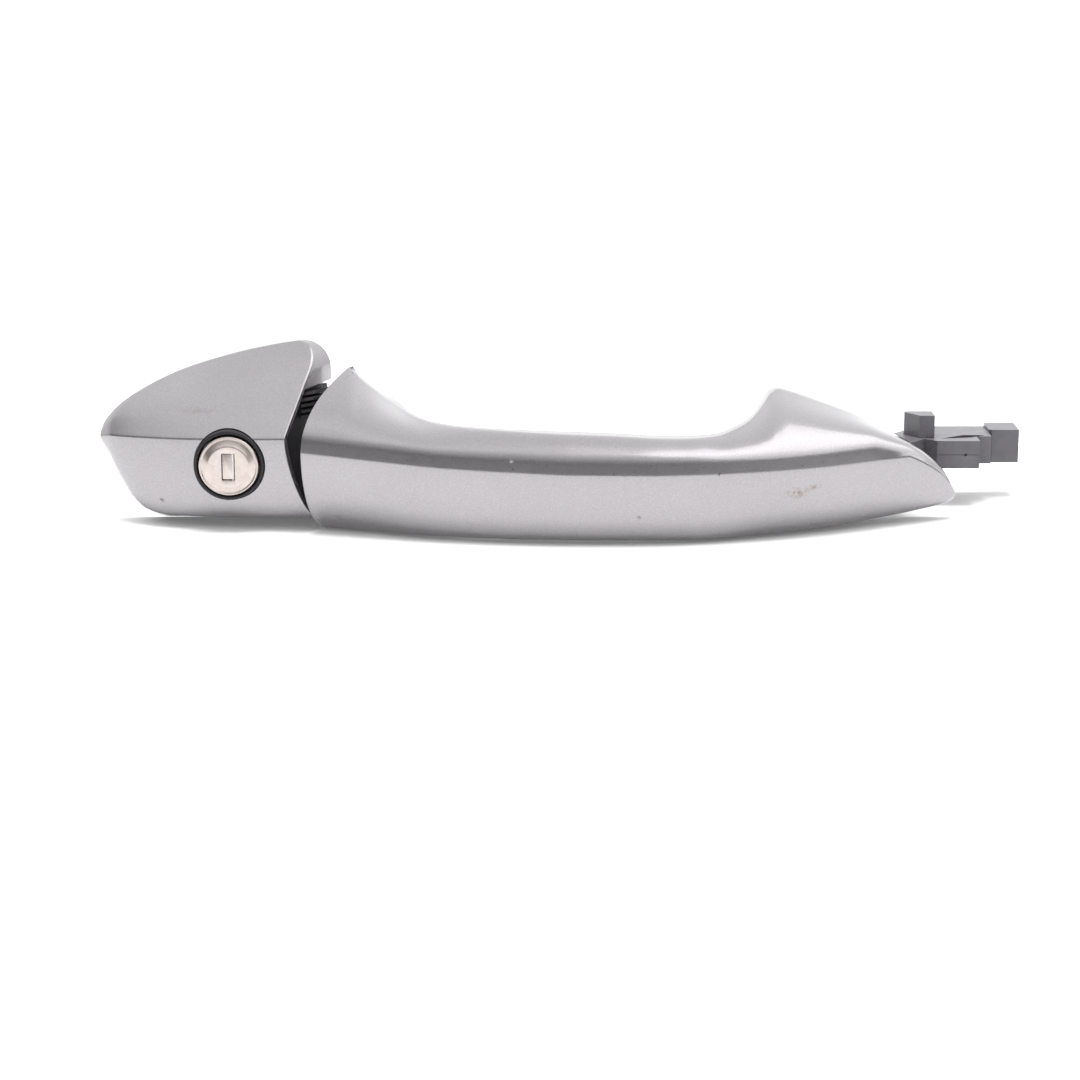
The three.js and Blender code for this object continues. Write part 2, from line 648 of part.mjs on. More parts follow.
// deepest the cap's inner face runs within a radius of the lock's axis
function innerFaceDepth(radius) {
  let depth = -BEHIND;
  for (let i = -8; i <= 8; i += 1) {
    const x = (radius * i) / 8;
    const reach = Math.sqrt(radius * radius - x * x);
    const ring = inset(capRing(x), WALL);
    for (let j = 2; j < ring.length - 1; j += 1) {
      const [[y0, z0], [y1, z1]] = [ring[j - 1], ring[j]];
      const from = Math.max(z0, LZ - reach);
      const to = Math.min(z1, LZ + reach);
      if (from > to || z1 === z0) continue;
      for (const z of [from, to]) {
        depth = Math.max(depth, y0 + ((y1 - y0) * (z - z0)) / (z1 - z0));
      }
    }
  }
  return depth;
}

const housingFront = innerFaceDepth(HOUSING_R) + HOUSING_CLEAR;
const slotHalf = [SLOT[0] / 2, SLOT[1] / 2];
const sleeveIn = PLUG_R + RUN;
const sleeveOut = sleeveIn + SLEEVE_WALL;
const plateBack = FACE_Y + FACE_PLATE;
const headBack = FACE_Y + FACE_SKIRT + 0.3;
const flapBack = FACE_Y + 0.05 + FLAP_THICK;
const pinX = slotHalf[0] - SLOT_EDGE - FLAP_PIN_INSET;
const pinY = FACE_Y + 0.05 + FLAP_PIN_INSET;

function plugCap() {
  const cup = turned([
    [0, FACE_Y], [FACE_R - FACE_BEVEL, FACE_Y], [FACE_R, FACE_Y + FACE_BEVEL],
    [FACE_R, FACE_Y + FACE_SKIRT], [FACE_R - SKIRT_WALL, FACE_Y + FACE_SKIRT],
    [FACE_R - SKIRT_WALL, plateBack], [0, plateBack],
  ], 0, LZ, 36);
  const window = box(-slotHalf[0], slotHalf[0], FACE_Y - 1, 0, LZ - slotHalf[1], LZ + slotHalf[1]);
  const pinHole = rodZ(FLAP_PIN_R + 0.1, LZ - slotHalf[1] - 0.8, LZ + slotHalf[1] + 0.8, pinX, pinY);
  return cut(cup, window, pinHole);
}

function keyShutter() {
  const edge = SLOT_EDGE;
  const right = slotHalf[0] - edge;
  const plate = box(-right, right, FACE_Y + 0.05, flapBack, LZ - slotHalf[1] + edge,
    LZ + slotHalf[1] - edge);
  return cut(plate, rodZ(FLAP_PIN_R + 0.1, LZ - 9, LZ + 9, pinX, pinY));
}

function shutterPin() {
  return rodZ(FLAP_PIN_R, LZ - slotHalf[1] - 0.6, LZ + slotHalf[1] + 0.6, pinX, pinY);
}

function shutterSpring() {
  const leaf = [[2.05, POCKET_END - 0.4], [2.2, POCKET_END - 0.4], [1.1, flapBack + 0.3],
    [0.7, flapBack + 0.3], [0.8, flapBack + 0.45], [1, flapBack + 0.45]];
  return prismZ(leaf, LZ - 1.2, LZ + 1.2);
}

function waferY(index) {
  return WAFER_FIRST + index * WAFER_PITCH;
}

function waferUp(index) {
  return index % 2 === 0 ? 1 : -1;
}

function plugCore() {
  const body = turned([
    [0, plateBack + GAP], [PLUG_HEAD_R, plateBack + GAP], [PLUG_HEAD_R, headBack],
    [PLUG_R, headBack], [PLUG_R, PLUG_REAR], [BOSS_R, PLUG_REAR], [BOSS_R, BOSS_END],
    [0, BOSS_END],
  ], 0, LZ, 32);
  const pocket = box(-slotHalf[0] - GAP, slotHalf[0] + 2 * GAP, FACE_Y, POCKET_END,
    LZ - slotHalf[1] - GAP, LZ + slotHalf[1] + GAP);
  const keyEnd = waferY(WAFER_COUNT - 1) + 2 * WAFER_PITCH;
  const keyway = box(-KEYWAY[0] / 2, KEYWAY[0] / 2, FACE_Y, keyEnd, LZ - KEYWAY[1] / 2,
    LZ + KEYWAY[1] / 2);
  const slots = [];
  for (let i = 0; i < WAFER_COUNT; i += 1) {
    const y = waferY(i);
    slots.push(box(-WAFER_WIDTH / 2 - RUN, WAFER_WIDTH / 2 + RUN, y - RUN,
      y + WAFER_THICK + RUN, LZ - PLUG_R - 1, LZ + PLUG_R + 1));
    const side = waferUp(i);
    slots.push(box(WAFER_WIDTH / 2, WAFER_WIDTH / 2 + 2, y - 0.4, y + WAFER_THICK + 0.4,
      LZ - side * 1.6 - 1.9, LZ - side * 1.6 + 1.9));
  }
  return cut(body, pocket, keyway, ...slots);
}

function plugSleeve() {
  const tube = tubeY(sleeveIn, sleeveOut, headBack + 1.3, PLUG_REAR - 0.5, 0, LZ);
  const half = WAFER_WIDTH / 2 + 0.4;
  const groove = box(-half, half, waferY(0) - 1, PLUG_REAR - 2, LZ - SLEEVE_GROOVE,
    LZ + SLEEVE_GROOVE);
  return cut(tube, groove);
}

function wafer(index) {
  const y = waferY(index);
  const lift = waferUp(index) * WAFER_TRAVEL;
  const half = WAFER_WIDTH / 2;
  const tall = WAFER_HEIGHT / 2;
  const low = LZ + lift - tall;
  const high = LZ + lift + tall;
  const tab = LZ - waferUp(index) * 0.6;
  const plate = join(
    box(-half, half, y, y + WAFER_THICK, low, high),
    box(half - 0.5, half + 1.4, y, y + WAFER_THICK, tab - 0.4, tab + 0.4),
  );
  const window = box(-WAFER_WINDOW[0] / 2, WAFER_WINDOW[0] / 2, y - 1, y + WAFER_THICK + 1,
    LZ - WAFER_WINDOW[1] / 2, LZ + WAFER_WINDOW[1] / 2);
  return cut(plate, window);
}

// round wire along a helix about Z, starting at its foot
function coil(radius, wire, turns, length, steps, sides) {
  const points = [];
  const total = Math.round(turns * steps);
  for (let i = 0; i <= total; i += 1) {
    const angle = (i / steps) * 2 * Math.PI;
    const along = (i / total) * length;
    points.push(new THREE.Vector3(radius * Math.cos(angle), radius * Math.sin(angle), along));
  }
  return wireAlong(points, wire, total, sides);
}

function wireAlong(points, wire, steps, sides) {
  const section = new THREE.Shape();
  for (let i = 0; i < sides; i += 1) {
    const angle = (i * 2 * Math.PI) / sides;
    const p = [wire * Math.cos(angle), wire * Math.sin(angle)];
    if (i === 0) section.moveTo(...p);
    else section.lineTo(...p);
  }
  const path = new THREE.CatmullRomCurve3(points);
  return new THREE.ExtrudeGeometry(section, { steps, bevelEnabled: false, extrudePath: path });
}

function waferSpring(index) {
  const side = waferUp(index);
  const free = 2.3;
  const tab = LZ - side * 0.6 - side * (0.4 + 0.15);
  const geometry = coil(0.42, 0.12, 4, free, 6, 4);
  if (side > 0) geometry.rotateX(Math.PI);
  const x = WAFER_WIDTH / 2 + 0.85;
  return solid(geometry.translate(x, waferY(index) + WAFER_THICK / 2, tab));
}

function plugSeal() {
  const section = new THREE.TorusGeometry(PLUG_R + 0.95, 0.42, 6, 24);
  return solid(section.rotateX(Math.PI / 2).translate(0, headBack + 0.65, LZ));
}

function bezelRing() {
  const inside = FACE_R + 0.3;
  return turned([
    [inside + 0.5, RING_FRONT], [RING_R - 0.3, RING_FRONT], [RING_R, RING_FRONT + 0.3],
    [RING_R, housingFront - GAP], [inside, housingFront - GAP], [inside, RING_FRONT + 0.6],
  ], 0, LZ, 36);
}

function lockHousing() {
  const bore = sleeveOut + RUN;
  const barrel = tubeY(bore, HOUSING_R, housingFront, HOUSING_REAR, 0, LZ);
  const stop = HOUSING_R + 3;
  const ears = box(-stop - 2, stop + 2, 1.2, 4.2, LZ - 4, LZ + 4);
  const ear = cut(ears, rodY(HOUSING_R - 1, 0, 6, 0, LZ, 32));
  return join(barrel, ear);
}

function retainingRing() {
  const ring = tubeY(BOSS_R + GAP, sleeveOut + 0.9, HOUSING_REAR + GAP, HOUSING_REAR + 1.3, 0, LZ);
  return cut(ring, box(-2, 2, 0, BEHIND, LZ - HOUSING_R, LZ - BOSS_R + 1));
}

function returnSpring() {
  const radius = 7;
  const wire = 0.55;
  const steps = 12;
  const points = [];
  const start = HOUSING_REAR + 2.4;
  points.push(new THREE.Vector3(radius + 3, start, 0));
  for (let i = 0; i <= 2.5 * steps; i += 1) {
    const angle = (i / steps) * 2 * Math.PI;
    points.push(new THREE.Vector3(radius * Math.cos(angle), start + (i * 1.5) / steps,
      radius * Math.sin(angle)));
  }
  points.push(new THREE.Vector3(-radius - 3, start + 3.75, 0));
  return solid(wireAlong(points, wire, 56, 5).translate(0, 0, LZ));
}

function tailShaft() {
  const hubEnd = BOSS_END + 5;
  return join(
    rodY(BOSS_R, BOSS_END + GAP, hubEnd, 0, LZ, 24),
    box(-3, 3, hubEnd - 1, TAIL_END, LZ - 1.2, LZ + 1.2),
  );
}

function capScrew() {
  const x = HOUSING_R + 2.6;
  const seat = 4.2 + GAP;
  return join(
    rodY(1.2, -2.6, seat + 0.5, x, LZ, 16),
    turned([[0, seat], [2.2, seat], [2, seat + 1.5], [0, seat + 1.5]], x, LZ, 20),
  );
}

// ---------------------------------------------------------------- assembly
const handle = new THREE.Group();

function add(name, body, look) {
  const mesh = body.getMesh();
  const geometry = new THREE.BufferGeometry();
  geometry.setAttribute('position', new THREE.BufferAttribute(mesh.vertProperties, 3));
  geometry.setIndex(new THREE.BufferAttribute(mesh.triVerts, 1));
  const piece = new THREE.Mesh(geometry, new THREE.MeshStandardMaterial(look));
  piece.name = name;
  handle.add(piece);
}

const screwX = HOUSING_R + 2.6;
const screwClearance = rodY(1.2 + 0.15, -BEHIND, BEHIND, screwX, LZ, 16);

add('grip_shell', gripShell(), paint);
add('grip_back', gripBack(), paint);
add('grip_core', gripCore(), darkPlastic);
GRIP_SCREWS.forEach((place, i) => add(`grip_screw_${i + 1}`, gripScrew(place), springSteel));
BUFFERS.forEach((place, i) => add(`stop_buffer_${i + 1}`, buffer(place), rubber));

add('cap_shell', capShell(), paint);
add('cap_carrier', cut(capCarrier(), screwClearance), blackPlastic);
add('bezel_ring', bezelRing(), blackPlastic);
add('lock_housing', cut(lockHousing(), screwClearance), zinc);
add('cap_screw', capScrew(), springSteel);

add('plug_cap', plugCap(), stainless);
add('plug_core', plugCore(), zinc);
add('plug_sleeve', plugSleeve(), springSteel);
add('plug_seal', plugSeal(), rubber);
add('key_shutter', keyShutter(), stainless);
add('shutter_pin', shutterPin(), springSteel);
add('shutter_spring', shutterSpring(), springSteel);
for (let i = 0; i < WAFER_COUNT; i += 1) {
  add(`wafer_${i + 1}`, wafer(i), brass);
  add(`wafer_spring_${i + 1}`, waferSpring(i), springSteel);
}
add('retaining_ring', retainingRing(), springSteel);
add('return_spring', returnSpring(), springSteel);
add('tail_shaft', tailShaft(), zinc);

export default handle;
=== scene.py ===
"""Looks of the exterior car door handle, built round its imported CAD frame."""
import json
import math

import bmesh
import bpy
import numpy as np
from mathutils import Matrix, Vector


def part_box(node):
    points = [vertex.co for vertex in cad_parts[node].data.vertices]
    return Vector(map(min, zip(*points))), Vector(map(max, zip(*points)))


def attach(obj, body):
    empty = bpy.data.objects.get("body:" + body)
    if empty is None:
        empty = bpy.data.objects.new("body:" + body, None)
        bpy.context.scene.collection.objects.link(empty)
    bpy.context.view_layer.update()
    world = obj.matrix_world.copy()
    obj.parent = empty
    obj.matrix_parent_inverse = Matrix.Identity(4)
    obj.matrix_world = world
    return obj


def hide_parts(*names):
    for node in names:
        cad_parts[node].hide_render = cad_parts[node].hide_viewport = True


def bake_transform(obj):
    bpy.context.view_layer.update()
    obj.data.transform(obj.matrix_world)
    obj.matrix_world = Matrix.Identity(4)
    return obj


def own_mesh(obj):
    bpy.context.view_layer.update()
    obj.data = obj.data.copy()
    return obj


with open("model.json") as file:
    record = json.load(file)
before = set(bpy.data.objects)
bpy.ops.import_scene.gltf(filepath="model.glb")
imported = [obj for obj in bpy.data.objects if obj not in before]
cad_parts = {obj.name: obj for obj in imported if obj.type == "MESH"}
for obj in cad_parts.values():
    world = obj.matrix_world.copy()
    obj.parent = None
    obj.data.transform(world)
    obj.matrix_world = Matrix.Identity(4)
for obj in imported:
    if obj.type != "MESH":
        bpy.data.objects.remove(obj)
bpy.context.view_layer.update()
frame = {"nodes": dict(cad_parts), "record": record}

MM = 0.001
SEAT_RISE = 4.0       # the origin's height above the lowest edge of the handle
WALL = 2.2            # painted shells
FLOOR_GLOW = 0.12     # lifts the white of the floor


def up(height):
    """Height above the origin, from a height above the lowest edge."""
    return height - SEAT_RISE


# ------------------------------------------------------------------ camera, floor and light
def camera():
    data = bpy.data.cameras.new("camera")
    data.lens = 92.0
    data.sensor_width = 36.0
    data.clip_start = 0.01
    data.clip_end = 50
    cam = bpy.data.objects.new("camera", data)
    cam.location = (0.0915, -0.8137, 0.1915)
    cam.rotation_euler = (math.radians(90 - 14), 0, 0)
    bpy.context.scene.collection.objects.link(cam)
    bpy.context.scene.camera = cam


def area_light(name, place, aim, size, power, tint=(1, 1, 1)):
    data = bpy.data.lights.new(name, "AREA")
    data.shape = "RECTANGLE"
    data.size, data.size_y = size
    data.energy = power
    data.color = tint
    lamp = bpy.data.objects.new(name, data)
    lamp.location = place
    lamp.rotation_euler = (Vector(aim) - Vector(place)).to_track_quat("-Z", "Y").to_euler()
    bpy.context.scene.collection.objects.link(lamp)
    return lamp


def studio():
    """A white room, dim low down on the camera's side, and a white floor under the handle."""
    world = bpy.data.worlds.new("studio")
    bpy.context.scene.world = world
    world.use_nodes = True
    nodes, links = world.node_tree.nodes, world.node_tree.links
    nodes.clear()
    coords = nodes.new("ShaderNodeTexCoord")
    split = nodes.new("ShaderNodeSeparateXYZ")
    ramp = nodes.new("ShaderNodeValToRGB")
    lift = nodes.new("ShaderNodeMath")
    lift.operation = "MULTIPLY_ADD"
    lift.inputs[1].default_value = 0.5
    lift.inputs[2].default_value = 0.5
    background = nodes.new("ShaderNodeBackground")
    out = nodes.new("ShaderNodeOutputWorld")
    links.new(coords.outputs["Generated"], split.inputs[0])
    links.new(split.outputs["Z"], lift.inputs[0])
    links.new(lift.outputs[0], ramp.inputs[0])
    far_side = nodes.new("ShaderNodeMapRange")
    far_side.interpolation_type = "SMOOTHSTEP"
    far_side.inputs["From Min"].default_value = -0.05
    far_side.inputs["From Max"].default_value = 0.45
    room = nodes.new("ShaderNodeMix")
    room.data_type = "RGBA"
    room.inputs[7].default_value = (0.72, 0.72, 0.72, 1)
    links.new(split.outputs["Y"], far_side.inputs["Value"])
    links.new(far_side.outputs["Result"], room.inputs["Factor"])
    links.new(ramp.outputs["Color"], room.inputs[6])
    links.new(room.outputs[2], background.inputs["Color"])
    links.new(background.outputs[0], out.inputs["Surface"])
    bands = [(0.0, 0.8), (0.49, 0.8), (0.5, 0.04), (0.62, 0.05), (0.73, 0.36), (0.82, 0.68),
             (0.92, 0.86), (1.0, 0.64)]
    stops = ramp.color_ramp.elements
    while len(stops) < len(bands):
        stops.new(0.5)
    for stop, (place, level) in zip(stops, bands):
        stop.position = place
        stop.color = (level, level, level, 1)
    background.inputs["Strength"].default_value = 1.95

    bpy.ops.mesh.primitive_plane_add(size=60, location=(0.09, 0.6, up(0) * MM - 0.0001))
    floor = bpy.context.object
    floor.name = "floor"
    shade = material("floor_white", (0.7, 0.7, 0.7), roughness=0.9, specular=0.1)
    sockets = shade.node_tree.nodes["Principled BSDF"].inputs
    sockets["Emission Color"].default_value = (1, 1, 1, 1)
    sockets["Emission Strength"].default_value = FLOOR_GLOW
    floor.data.materials.append(shade)

    right_side = area_light("right_side", (1.1, -0.35, 1.05), (0.15, 0, 0.02), (2.0, 1.6), 19)
    right_side.visible_diffuse = False
    overhead = area_light("overhead", (0.09, -0.05, 1.2), (0.09, -0.05, 0), (0.7, 0.7), 26)
    overhead.visible_glossy = False


# ------------------------------------------------------------------ materials
def material(name, color, metallic=0.0, roughness=0.5, coat=0.0, coat_roughness=0.05, specular=0.5):
    shade = bpy.data.materials.new(name)
    shade.use_nodes = True
    bsdf = shade.node_tree.nodes["Principled BSDF"]
    bsdf.inputs["Base Color"].default_value = (*color, 1)
    bsdf.inputs["Metallic"].default_value = metallic
    bsdf.inputs["Roughness"].default_value = roughness
    bsdf.inputs["Coat Weight"].default_value = coat
    bsdf.inputs["Coat Roughness"].default_value = coat_roughness
    bsdf.inputs["Specular IOR Level"].default_value = specular
    return shade


class Nodes:
    """Short names for adding nodes to a material."""

    def __init__(self, shade):
        self.nodes = shade.node_tree.nodes
        self.links = shade.node_tree.links
        self.bsdf = self.nodes["Principled BSDF"]
        self.coords = self.nodes.new("ShaderNodeTexCoord").outputs["Object"]

    def add(self, kind, **values):
        node = self.nodes.new(kind)
        for key, value in values.items():
            if key in node.inputs:
                node.inputs[key].default_value = value
            else:
                setattr(node, key, value)
        return node

    def link(self, a, b):
        self.links.new(a, b)

    def noise(self, scale, detail=3.0, roughness=0.5, stretch=None):
        node = self.add("ShaderNodeTexNoise", Scale=scale, Detail=detail, Roughness=roughness)
        source = self.coords
        if stretch:
            mapping = self.add("ShaderNodeMapping")
            mapping.inputs["Scale"].default_value = stretch
            self.link(source, mapping.inputs["Vector"])
            source = mapping.outputs["Vector"]
        self.link(source, node.inputs["Vector"])
        return node.outputs["Fac"]

    def flakes(self, scale):
        node = self.add("ShaderNodeTexVoronoi", Scale=scale)
        self.link(self.coords, node.inputs["Vector"])
        return node.outputs["Color"]

    def ramp(self, source, stops):
        node = self.add("ShaderNodeValToRGB")
        elements = node.color_ramp.elements
        while len(elements) < len(stops):
            elements.new(0.5)
        for element, (place, color) in zip(elements, stops):
            element.position = place
            element.color = (*color, 1) if len(color) == 3 else color
        self.link(source, node.inputs[0])
        return node.outputs["Color"]

    def mix(self, factor, a, b):
        node = self.add("ShaderNodeMix", data_type="RGBA")
        if isinstance(factor, (int, float)):
            node.inputs["Factor"].default_value = factor
        else:
            self.link(factor, node.inputs["Factor"])
        for source, socket in ((a, node.inputs[6]), (b, node.inputs[7])):
            if isinstance(source, tuple):
                socket.default_value = (*source, 1)
            else:
                self.link(source, socket)
        return node.outputs[2]

    def math(self, operation, a, b=0.0, c=0.0):
        node = self.add("ShaderNodeMath", operation=operation)
        for index, source in enumerate((a, b, c)):
            if isinstance(source, (int, float)):
                node.inputs[index].default_value = source
            else:
                self.link(source, node.inputs[index])
        return node.outputs[0]

    def spot(self, centre, reach, strength=1.0):
        """Strength at a place in the object, falling to 0 at a reach along each axis."""
        away = self.add("ShaderNodeVectorMath", operation="SUBTRACT")
        self.link(self.coords, away.inputs[0])
        away.inputs[1].default_value = [c * MM for c in centre]
        scaled = self.add("ShaderNodeVectorMath", operation="DIVIDE")
        self.link(away.outputs["Vector"], scaled.inputs[0])
        scaled.inputs[1].default_value = [c * MM for c in reach]
        length = self.add("ShaderNodeVectorMath", operation="LENGTH")
        self.link(scaled.outputs["Vector"], length.inputs[0])
        inside = self.math("SUBTRACT", 1.0, self.math("MINIMUM", length.outputs["Value"], 1.0))
        return self.math("MULTIPLY", inside, strength)

    def bump(self, height, strength, distance):
        node = self.add("ShaderNodeBump", Strength=strength, Distance=distance)
        self.link(height, node.inputs["Height"])
        self.link(node.outputs["Normal"], self.bsdf.inputs["Normal"])
        return node


GRIME = (0.16, 0.11, 0.07)
DARK = (0.06, 0.05, 0.045)
FLECK = (0.85, 0.84, 0.82)
MARKS = [      # where, how far it reaches, strength, colour
    ((166.4, -30, 10.2), (4.5, 8, 2.2), 1.0, GRIME),
    ((171.5, -28, 11.5), (3.0, 8, 1.2), 0.8, GRIME),
    ((143.4, -37, 17.2), (0.9, 3, 0.7), 2.2, DARK),
    ((83.2, -38.5, 21.6), (0.8, 3, 0.7), 2.2, FLECK),
    ((-9.9, -15.5, 31.4), (7.5, 8, 1.2), 0.5, GRIME),
    ((-21, -14, 4.5), (1.0, 4, 0.8), 1.6, DARK),
    ((120.0, -38.4, 5.0), (1.0, 3, 0.8), 1.2, DARK),
]


def paint():
    """Metallic silver-grey base coat with fine flakes under clear coat, a little worn."""
    shade = material("paint", (0.3, 0.29, 0.3), metallic=0.9, roughness=0.34, coat=1.0,
                     coat_roughness=0.05)
    n = Nodes(shade)
    flake = n.add("ShaderNodeSeparateColor")
    n.link(n.flakes(5200.0), flake.inputs[0])
    glint = n.ramp(flake.outputs[0], [(0.0, (0.24, 0.231, 0.242)), (0.8, (0.285, 0.273, 0.286)),
                                      (1.0, (0.36, 0.35, 0.36))])
    cloud = n.ramp(n.noise(38.0, 4.0), [(0.35, (0.275, 0.264, 0.277)),
                                        (0.65, (0.298, 0.286, 0.298))])
    base = n.mix(0.45, glint, cloud)
    patchy = n.ramp(n.noise(900.0, 4.0, 0.7), [(0.42, (0, 0, 0)), (0.6, (1, 1, 1))])
    for centre, reach, strength, color in MARKS:
        n_spot = n.math("MULTIPLY", n.spot(centre, reach, strength), patchy)
        base = n.mix(n.math("MINIMUM", n_spot, 0.85), base, color)
    n.link(base, n.bsdf.inputs["Base Color"])
    rough = n.math("MULTIPLY_ADD", n.noise(900.0, 2.0), 0.08, 0.25)
    n.link(rough, n.bsdf.inputs["Roughness"])
    peel = n.add("ShaderNodeBump", Strength=0.04, Distance=0.0004)
    n.link(n.noise(420.0, 2.0), peel.inputs["Height"])
    n.link(peel.outputs["Normal"], n.bsdf.inputs["Coat Normal"])
    grain = n.add("ShaderNodeBump", Strength=0.03, Distance=0.00005)
    n.link(flake.outputs[1], grain.inputs["Height"])
    n.link(grain.outputs["Normal"], n.bsdf.inputs["Normal"])
    return shade


def stainless():
    shade = material("stainless", (0.46, 0.41, 0.385), metallic=1.0, roughness=0.3)
    n = Nodes(shade)
    tone = n.ramp(n.noise(500.0, 4.0, 0.6), [(0.3, (0.43, 0.38, 0.355)), (0.7, (0.5, 0.445, 0.42))])
    n.link(tone, n.bsdf.inputs["Base Color"])
    n.link(n.math("MULTIPLY_ADD", n.noise(1500.0, 3.0), 0.16, 0.22), n.bsdf.inputs["Roughness"])
    n.bump(n.noise(2600.0, 3.0), 0.12, 0.00004)
    return shade


def metal(name, color, roughness, grain=1600.0):
    shade = material(name, color, metallic=1.0, roughness=roughness)
    n = Nodes(shade)
    dark = tuple(0.8 * c for c in color)
    n.link(n.ramp(n.noise(160.0, 4.0), [(0.3, dark), (0.7, color)]), n.bsdf.inputs["Base Color"])
    n.link(n.math("MULTIPLY_ADD", n.noise(700.0), 0.2, roughness - 0.1), n.bsdf.inputs["Roughness"])
    n.bump(n.noise(grain, 3.0), 0.15, 0.00005)
    return shade


def plastic(name, color, roughness, grain=2400.0, strength=0.2, specular=0.5):
    shade = material(name, color, roughness=roughness, specular=specular)
    n = Nodes(shade)
    light = tuple(min(1.0, 1.3 * c + 0.004) for c in color)
    n.link(n.ramp(n.noise(220.0, 5.0), [(0.3, color), (0.72, light)]), n.bsdf.inputs["Base Color"])
    n.link(n.math("MULTIPLY_ADD", n.noise(900.0), 0.2, roughness - 0.1), n.bsdf.inputs["Roughness"])
    n.bump(n.noise(grain, 3.0), strength, 0.00005)
    return shade


def finishes():
    return {
        "paint": paint(),
        "stainless": stainless(),
        "core_plastic": plastic("core_plastic", (0.078, 0.075, 0.083), 0.36),
        "black_plastic": plastic("black_plastic", (0.008, 0.007, 0.009), 0.42, specular=0.3),
        "zinc": metal("zinc", (0.50, 0.50, 0.51), 0.48),
        "brass": metal("brass", (0.66, 0.50, 0.25), 0.35),
        "spring_steel": metal("spring_steel", (0.52, 0.53, 0.55), 0.3),
        "rubber": plastic("rubber", (0.014, 0.014, 0.015), 0.75, 1800.0, 0.35),
    }


# ------------------------------------------------------------------ curves and sections
def through(points):
    """Smooth curve through [x, value] points that never overshoots them."""
    xs, ys = (np.array(column, float) for column in zip(*points))
    rise = np.diff(ys) / np.diff(xs)
    product = rise[:-1] * rise[1:]
    total = rise[:-1] + rise[1:]
    inner = np.where(product > 0, 2 * product / np.where(total == 0, 1, total), 0)
    tangent = np.concatenate([rise[:1], inner, rise[-1:]])

    def curve(x):
        x = np.clip(x, xs[0], xs[-1])
        i = np.clip(np.searchsorted(xs, x, side="right") - 1, 0, len(xs) - 2)
        h = xs[i + 1] - xs[i]
        t = (x - xs[i]) / h
        value = ys[i] * (1 + 2 * t) * (1 - t) ** 2 + ys[i + 1] * t * t * (3 - 2 * t)
        return value + h * (tangent[i] * t * (1 - t) ** 2 + tangent[i + 1] * t * t * (t - 1))

    return curve


def bezier(a, b, c, d, t):
    a, b, c, d = (np.array(p, float) for p in (a, b, c, d))
    t = np.asarray(t, float)[:, None]
    return a * (1 - t) ** 3 + 3 * b * t * (1 - t) ** 2 + 3 * c * t * t * (1 - t) + d * t ** 3


def corner(a, b, c, steps):
    """Rounds a corner at b with a short curve from a to c."""
    t = np.linspace(0, 1, steps + 1)[:, None]
    return a * (1 - t) ** 2 + 2 * b * t * (1 - t) + c * t * t


CREASE_ROUND = 0.45
LIP_ROUND = 1.5


def face(low, crease, lip, high, start, lean, full):
    """Front of a section: up to the crease, over the strip, and back to the upper edge."""
    low, crease, lip, high = (np.array(p, float) for p in (low, crease, lip, high))
    b = np.array([low[0] + full * (crease[0] - low[0]), low[1]])
    c = np.array([crease[0], crease[1] - full * (crease[1] - low[1])])
    near = CREASE_ROUND / max(3 * (crease[1] - c[1]), 1e-6)
    near = min(near, 0.2)
    lower = bezier(low, b, c, crease, np.linspace(0, 1 - near, 26))
    strip = lip - crease
    height = np.linalg.norm(strip)
    along = strip / max(height, 1e-9)
    start_round = min(CREASE_ROUND, 0.3 * height)
    end_round = min(LIP_ROUND, 0.4 * height)
    span = np.linalg.norm(high - lip) / 3
    chord = math.atan2(high[0] - lip[0], high[1] - lip[1])
    start = math.radians(start)
    end = max(math.radians(lean), chord + math.radians(12))
    p1 = lip + span * np.array([math.sin(start), math.cos(start)])
    p2 = high - span * np.array([math.sin(end), math.cos(end)])
    far = min(0.25, end_round / max(3 * span, 1e-6))
    upper = bezier(lip, p1, p2, high, np.linspace(far, 1, 24))
    return np.vstack([
        lower,
        corner(lower[-1], crease, crease + along * start_round, 4)[1:],
        crease + along * np.linspace(start_round, height - end_round, 4)[1:, None],
        corner(lip - along * end_round, lip, upper[0], 6)[1:],
        upper[1:],
    ])


def straight(a, b, steps):
    """Points from a to b, without a."""
    t = np.linspace(0, 1, steps + 1)[1:, None]
    return np.array(a) * (1 - t) + np.array(b) * t


# ------------------------------------------------------------------ grip outline, as in CAD
GRIP_TOP = [[10, 47.4], [33.6, 46.4], [35.8, 45.3], [38.4, 42.6], [41.5, 40.1], [46, 37],
            [52, 34.8], [60, 33.5], [80, 32.9], [110, 31.9], [136, 30.7], [143, 30.7], [148, 31.8],
            [153, 33.4], [157, 36.2], [160, 39.1], [162.6, 39.9], [166, 39.1], [176, 35.6],
            [185, 32.2], [194, 27.9], [201, 24.2], [207, 20.3], [212, 15.9], [215, 11.6],
            [216.6, 8.6]]
GRIP_BOTTOM = [[10, 0], [30, 0], [60, 0.8], [110, 1], [150, 0.6], [175, 0.8], [190, 2],
               [205, 3.6], [214, 5], [216.6, 6.4]]
GRIP_FRONT = [[10, -21], [22, -25.2], [43, -31], [63, -36], [83, -39], [102, -40.5],
              [120, -40.4], [134, -39], [155, -34.2], [175, -27], [190, -19.5], [207, -10],
              [216.6, -3.4]]
GRIP_CREASE = [[10, 25.2], [22, 24.9], [43, 23.8], [63, 22.8], [83, 22.2], [102, 21.7],
               [134, 21.4], [175, 21.2], [216.6, 21.8]]
GRIP_TOP_DEPTH = [[10, -2.2], [33.6, -2.8], [43, -3.4], [47, -5.6], [50, -9.5], [54, -16],
                  [60, -22.2], [68, -27], [80, -30.5], [102, -33], [120, -33], [136, -31],
                  [143, -28], [148, -24.5], [153, -19], [157, -12], [160, -6.5],
                  [162.6, -2.8], [180, -2.2], [216.6, -1.4]]
